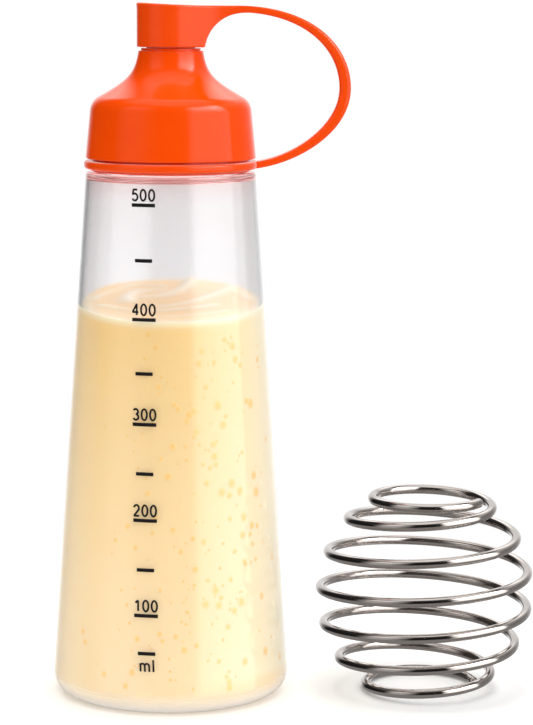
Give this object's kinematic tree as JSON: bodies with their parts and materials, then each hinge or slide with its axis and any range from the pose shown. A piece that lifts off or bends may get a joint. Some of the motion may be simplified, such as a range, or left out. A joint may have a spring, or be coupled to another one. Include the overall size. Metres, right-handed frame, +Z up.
{
  "type": "batter dispenser",
  "caption": "Tapered translucent squeeze bottle with a screw lid, a pouring nozzle, a tip cap tethered by a looped strap, and a coiled wire mixing ball that stands beside it.",
  "frame": {"origin": "where the bottle's axis meets the table", "axes": "+Z up along the bottle's axis, -Y the side with the printed scale, +X towards the strap's loop and the mixing ball"},
  "size_m": [0.1538, 0.0752, 0.2189],
  "materials": {
    "bottle_wall": "translucent, satin",
    "batter": "thick batter, moist",
    "lid_orange": "gloss",
    "seal": "silicone, matte",
    "tether_orange": "satin gloss, flexible",
    "wire": "polished stainless wire"
  },
  "bodies": {
    "bottle": {"bottle": "bottle_wall", "batter": "batter"},
    "tether": {"tether_ring": "tether_orange", "tether_strap": "tether_orange"},
    "lid": {"lid": "lid_orange", "lid_seal": "seal"},
    "tip_cap": {"tip_cap": "tether_orange"},
    "mixing_ball": {"mixing_ball": "wire"}
  },
  "joints": [
    {"name": "lid_rise", "type": "slide", "parent": "bottle", "child": "tether", "axis": [0, 0, 1], "range_m": [0, 0.00801]},
    {"name": "lid_turn", "type": "hinge", "parent": "tether", "child": "lid", "pos_m": [0, 0, 0.1712], "axis": [0, 0, 1], "range_deg": [0, 720]},
    {"name": "cap_pull", "type": "slide", "parent": "tether", "child": "tip_cap", "axis": [0, 0, 1], "range_m": [0, 0.02], "deforming": ["tether_strap"]},
    {"name": "mixing_ball_lift", "type": "slide", "parent": "bottle", "child": "mixing_ball", "axis": [0, 0, 1], "range_m": [0, 0.11]}
  ],
  "couplings": [
    {"joint": "lid_rise", "follows": "lid_turn", "m_per_rad": 0.00063662}
  ]
}
